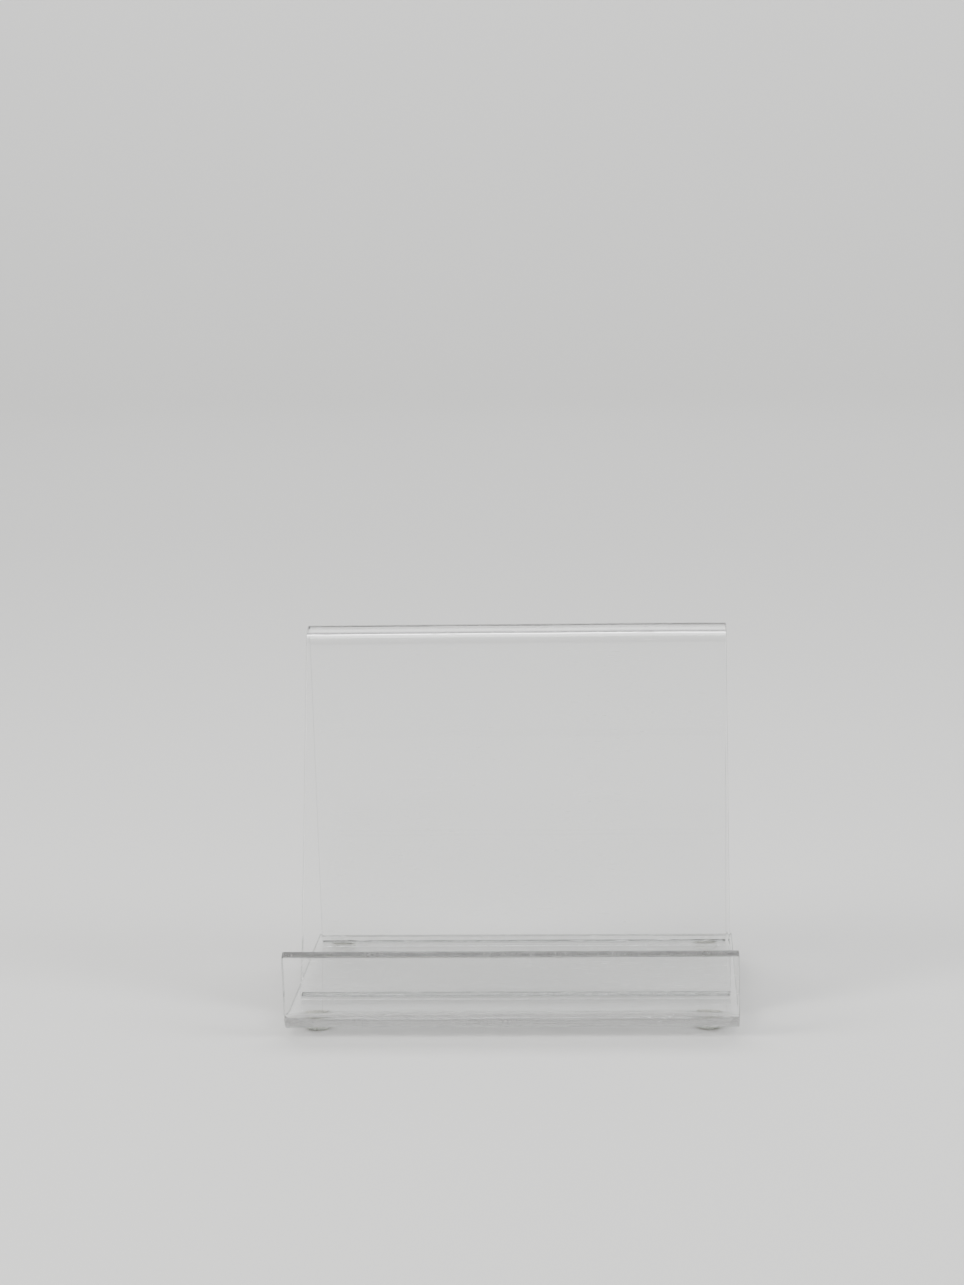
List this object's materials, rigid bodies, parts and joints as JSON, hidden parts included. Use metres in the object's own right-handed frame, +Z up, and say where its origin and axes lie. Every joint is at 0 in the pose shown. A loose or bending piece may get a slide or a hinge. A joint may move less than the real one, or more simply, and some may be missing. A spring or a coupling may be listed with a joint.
{
  "type": "plate display stand",
  "caption": "Clear acrylic plate stand: a heat-bent cradle with a low front lip holds the rim, and a folded easel cemented on its base holds the back.",
  "frame": {"origin": "on the table, under the middle of the stand's footprint", "axes": "+X to the stand's right seen from the front, +Y towards its back, +Z up; the lip is at -Y"},
  "size_m": [0.134, 0.114, 0.112],
  "materials": {
    "cradle_acrylic": "clear cast acrylic, polished faces, sawn and flame-polished edges",
    "easel_acrylic": "clear cast acrylic, polished faces, sawn and flame-polished edges",
    "cement": "clear acrylic cement, glossy, with fine bubbles",
    "bumper": "clear polyurethane, slightly cloudy",
    "adhesive": "clear pressure-sensitive adhesive, slightly yellow"
  },
  "bodies": {
    "root": {"cradle": "cradle_acrylic", "easel": "easel_acrylic", "cement_rest": "cement", "cement_prop": "cement", "foot_front_left": "bumper", "foot_front_right": "bumper", "foot_rear_left": "bumper", "foot_rear_right": "bumper", "disc_front_left": "adhesive", "disc_front_right": "adhesive", "disc_rear_left": "adhesive", "disc_rear_right": "adhesive"}
  },
  "joints": []
}
